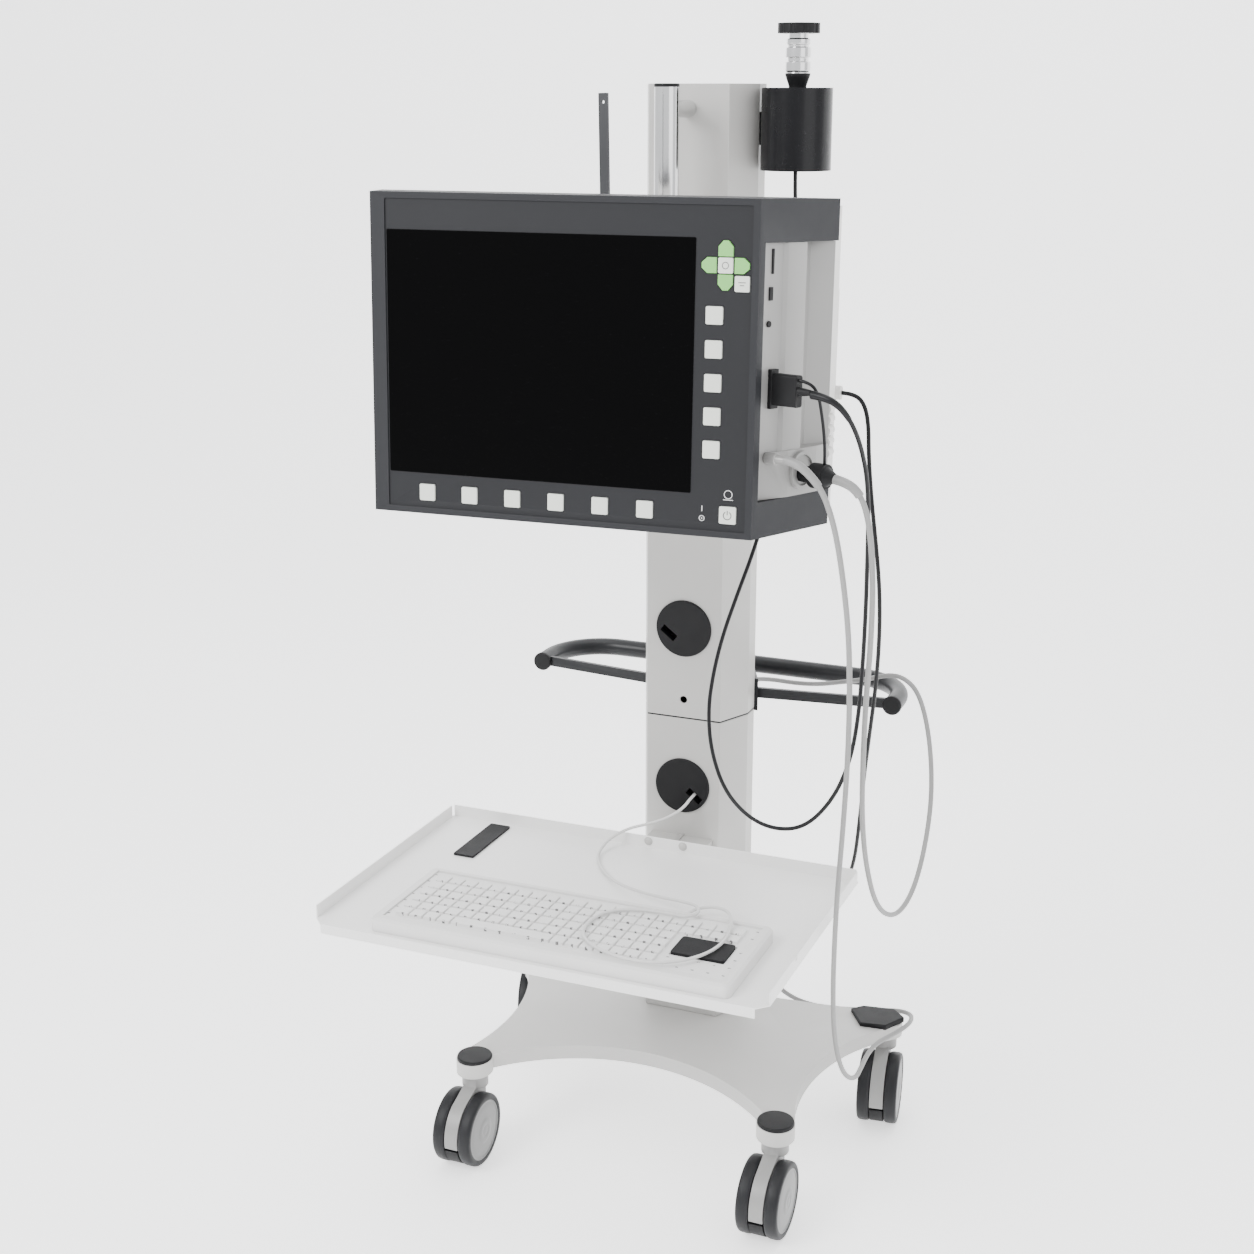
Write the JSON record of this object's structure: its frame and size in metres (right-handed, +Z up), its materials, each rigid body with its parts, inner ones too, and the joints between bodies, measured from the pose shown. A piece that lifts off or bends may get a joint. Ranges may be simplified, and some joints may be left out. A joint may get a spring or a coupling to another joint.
{
  "type": "medical imaging cart",
  "caption": "Wheeled medical imaging cart: domed base on twin-wheel casters, column with keyboard tray, push handle, cup holder and rail-mounted screen unit with keys, sockets and cables",
  "frame": {"origin": "bottom centre of the box round the cart without its free cords, on the floor", "axes": "+Z up, the screen faces -Y, +X is to the right seen from the front"},
  "size_m": [0.6691, 0.669, 1.489],
  "materials": {
    "white_paint": "satin powder coat",
    "grey_paint": "satin powder coat",
    "black_paint": "semi-gloss",
    "black_plastic": "fine grain",
    "dark_plastic": "fine grain",
    "light_plastic": "fine grain",
    "silver_plastic": "metallic paint",
    "chrome": "polished",
    "screen": "glossy",
    "key_white": "satin",
    "key_green": "satin",
    "tyre": "matte",
    "caster_body": "satin",
    "cable_black": "satin",
    "cable_grey": "satin",
    "cable_white": "satin"
  },
  "bodies": {
    "cart": {"base_plate": "grey_paint", "caster_caps": "black_plastic", "column_lower": "grey_paint", "column_upper": "grey_paint", "column_trim": "black_plastic", "tray": "white_paint", "tray_mount": "grey_paint", "accessory_pad": "tyre", "keyboard_case": "light_plastic", "keyboard_keys": "light_plastic", "keyboard_touchpad": "black_plastic", "push_handle": "black_paint", "handle_caps": "black_plastic", "mount_rail": "chrome", "screen_bracket": "grey_paint", "cup_holder": "black_plastic", "camera_head": "black_plastic", "handset_cable": "cable_black", "rear_cable": "cable_black", "grey_cable": "cable_grey", "light_cable": "cable_grey", "keyboard_cable": "cable_white"},
    "screen_unit": {"unit_frame": "dark_plastic", "screen_glass": "screen", "rear_housing": "light_plastic", "side_panel": "silver_plastic", "side_sockets": "black_plastic", "unit_mount": "grey_paint", "cable_plugs": "black_plastic", "tether": "cable_black"},
    "front_left_swivel": {"caster_front_left_housing": "caster_body"},
    "front_left_wheels": {"caster_front_left_wheels": "tyre"},
    "front_left_pedal": {"caster_front_left_pedal": "black_plastic"},
    "front_right_swivel": {"caster_front_right_housing": "caster_body"},
    "front_right_wheels": {"caster_front_right_wheels": "tyre"},
    "front_right_pedal": {"caster_front_right_pedal": "black_plastic"},
    "rear_left_swivel": {"caster_rear_left_housing": "caster_body"},
    "rear_left_wheels": {"caster_rear_left_wheels": "tyre"},
    "rear_left_pedal": {"caster_rear_left_pedal": "black_plastic"},
    "rear_right_swivel": {"caster_rear_right_housing": "caster_body"},
    "rear_right_wheels": {"caster_rear_right_wheels": "tyre"},
    "rear_right_pedal": {"caster_rear_right_pedal": "black_plastic"},
    "key_row_1": {"key_row_1": "key_white"},
    "key_row_2": {"key_row_2": "key_white"},
    "key_row_3": {"key_row_3": "key_white"},
    "key_row_4": {"key_row_4": "key_white"},
    "key_row_5": {"key_row_5": "key_white"},
    "key_row_6": {"key_row_6": "key_white"},
    "key_column_1": {"key_column_1": "key_white"},
    "key_column_2": {"key_column_2": "key_white"},
    "key_column_3": {"key_column_3": "key_white"},
    "key_column_4": {"key_column_4": "key_white"},
    "key_column_5": {"key_column_5": "key_white"},
    "key_arrow_up": {"key_arrow_up": "key_green"},
    "key_arrow_down": {"key_arrow_down": "key_green"},
    "key_arrow_left": {"key_arrow_left": "key_green"},
    "key_arrow_right": {"key_arrow_right": "key_green"},
    "key_confirm": {"key_confirm": "key_white"},
    "key_lower": {"key_lower": "key_white"},
    "key_power": {"key_power": "key_white"}
  },
  "joints": [
    {"name": "front_left_swivel", "type": "hinge", "parent": "cart", "child": "front_left_swivel", "pos_m": [-0.2027, -0.1165, 0.11], "axis": [0, 0, 1], "continuous": true},
    {"name": "front_left_roll", "type": "hinge", "parent": "front_left_swivel", "child": "front_left_wheels", "pos_m": [-0.2027, -0.1445, 0.05], "axis": [1, 0, 0], "continuous": true},
    {"name": "front_left_brake", "type": "hinge", "parent": "front_left_swivel", "child": "front_left_pedal", "pos_m": [-0.2027, -0.1445, 0.05], "axis": [1, 0, 0], "range_deg": [0, 8]},
    {"name": "front_right_swivel", "type": "hinge", "parent": "cart", "child": "front_right_swivel", "pos_m": [0.2293, -0.1165, 0.11], "axis": [0, 0, 1], "continuous": true},
    {"name": "front_right_roll", "type": "hinge", "parent": "front_right_swivel", "child": "front_right_wheels", "pos_m": [0.2293, -0.1445, 0.05], "axis": [1, 0, 0], "continuous": true},
    {"name": "front_right_brake", "type": "hinge", "parent": "front_right_swivel", "child": "front_right_pedal", "pos_m": [0.2293, -0.1445, 0.05], "axis": [1, 0, 0], "range_deg": [0, 8]},
    {"name": "rear_left_swivel", "type": "hinge", "parent": "cart", "child": "rear_left_swivel", "pos_m": [-0.2607, 0.204, 0.11], "axis": [0, 0, 1], "continuous": true},
    {"name": "rear_left_roll", "type": "hinge", "parent": "rear_left_swivel", "child": "rear_left_wheels", "pos_m": [-0.26795, 0.23105, 0.05], "axis": [-0.9659, -0.2588, 0], "continuous": true},
    {"name": "rear_left_brake", "type": "hinge", "parent": "rear_left_swivel", "child": "rear_left_pedal", "pos_m": [-0.26795, 0.23105, 0.05], "axis": [-0.9659, -0.2588, 0], "range_deg": [0, 8]},
    {"name": "rear_right_swivel", "type": "hinge", "parent": "cart", "child": "rear_right_swivel", "pos_m": [0.2873, 0.204, 0.11], "axis": [0, 0, 1], "continuous": true},
    {"name": "rear_right_roll", "type": "hinge", "parent": "rear_right_swivel", "child": "rear_right_wheels", "pos_m": [0.2912, 0.17627, 0.05], "axis": [0.9903, 0.1392, 0], "continuous": true},
    {"name": "rear_right_brake", "type": "hinge", "parent": "rear_right_swivel", "child": "rear_right_pedal", "pos_m": [0.2912, 0.17627, 0.05], "axis": [0.9903, 0.1392, 0], "range_deg": [0, 8]},
    {"name": "screen_tilt", "type": "hinge", "parent": "cart", "child": "screen_unit", "pos_m": [0.01651, -0.03592, 1.125], "axis": [0.9988, 0.048, 0], "range_deg": [-15, 10], "deforming": ["handset_cable", "rear_cable", "grey_cable", "light_cable"]},
    {"name": "key_row_1_press", "type": "slide", "parent": "screen_unit", "child": "key_row_1", "axis": [-0.0479, 0.998, -0.0419], "range_m": [0, 0.001], "stiffness_N_per_m": 600, "springref_m": -0.0008},
    {"name": "key_row_2_press", "type": "slide", "parent": "screen_unit", "child": "key_row_2", "axis": [-0.0479, 0.998, -0.0419], "range_m": [0, 0.001], "stiffness_N_per_m": 600, "springref_m": -0.0008},
    {"name": "key_row_3_press", "type": "slide", "parent": "screen_unit", "child": "key_row_3", "axis": [-0.0479, 0.998, -0.0419], "range_m": [0, 0.001], "stiffness_N_per_m": 600, "springref_m": -0.0008},
    {"name": "key_row_4_press", "type": "slide", "parent": "screen_unit", "child": "key_row_4", "axis": [-0.0479, 0.998, -0.0419], "range_m": [0, 0.001], "stiffness_N_per_m": 600, "springref_m": -0.0008},
    {"name": "key_row_5_press", "type": "slide", "parent": "screen_unit", "child": "key_row_5", "axis": [-0.0479, 0.998, -0.0419], "range_m": [0, 0.001], "stiffness_N_per_m": 600, "springref_m": -0.0008},
    {"name": "key_row_6_press", "type": "slide", "parent": "screen_unit", "child": "key_row_6", "axis": [-0.0479, 0.998, -0.0419], "range_m": [0, 0.001], "stiffness_N_per_m": 600, "springref_m": -0.0008},
    {"name": "key_column_1_press", "type": "slide", "parent": "screen_unit", "child": "key_column_1", "axis": [-0.0479, 0.998, -0.0419], "range_m": [0, 0.001], "stiffness_N_per_m": 600, "springref_m": -0.0008},
    {"name": "key_column_2_press", "type": "slide", "parent": "screen_unit", "child": "key_column_2", "axis": [-0.0479, 0.998, -0.0419], "range_m": [0, 0.001], "stiffness_N_per_m": 600, "springref_m": -0.0008},
    {"name": "key_column_3_press", "type": "slide", "parent": "screen_unit", "child": "key_column_3", "axis": [-0.0479, 0.998, -0.0419], "range_m": [0, 0.001], "stiffness_N_per_m": 600, "springref_m": -0.0008},
    {"name": "key_column_4_press", "type": "slide", "parent": "screen_unit", "child": "key_column_4", "axis": [-0.0479, 0.998, -0.0419], "range_m": [0, 0.001], "stiffness_N_per_m": 600, "springref_m": -0.0008},
    {"name": "key_column_5_press", "type": "slide", "parent": "screen_unit", "child": "key_column_5", "axis": [-0.0479, 0.998, -0.0419], "range_m": [0, 0.001], "stiffness_N_per_m": 600, "springref_m": -0.0008},
    {"name": "key_arrow_up_press", "type": "slide", "parent": "screen_unit", "child": "key_arrow_up", "axis": [-0.0479, 0.998, -0.0419], "range_m": [0, 0.001], "stiffness_N_per_m": 600, "springref_m": -0.0008},
    {"name": "key_arrow_down_press", "type": "slide", "parent": "screen_unit", "child": "key_arrow_down", "axis": [-0.0479, 0.998, -0.0419], "range_m": [0, 0.001], "stiffness_N_per_m": 600, "springref_m": -0.0008},
    {"name": "key_arrow_left_press", "type": "slide", "parent": "screen_unit", "child": "key_arrow_left", "axis": [-0.0479, 0.998, -0.0419], "range_m": [0, 0.001], "stiffness_N_per_m": 600, "springref_m": -0.0008},
    {"name": "key_arrow_right_press", "type": "slide", "parent": "screen_unit", "child": "key_arrow_right", "axis": [-0.0479, 0.998, -0.0419], "range_m": [0, 0.001], "stiffness_N_per_m": 600, "springref_m": -0.0008},
    {"name": "key_confirm_press", "type": "slide", "parent": "screen_unit", "child": "key_confirm", "axis": [-0.0479, 0.998, -0.0419], "range_m": [0, 0.001], "stiffness_N_per_m": 600, "springref_m": -0.0008},
    {"name": "key_lower_press", "type": "slide", "parent": "screen_unit", "child": "key_lower", "axis": [-0.0479, 0.998, -0.0419], "range_m": [0, 0.001], "stiffness_N_per_m": 600, "springref_m": -0.0008},
    {"name": "key_power_press", "type": "slide", "parent": "screen_unit", "child": "key_power", "axis": [-0.0479, 0.998, -0.0419], "range_m": [0, 0.001], "stiffness_N_per_m": 600, "springref_m": -0.0008}
  ]
}
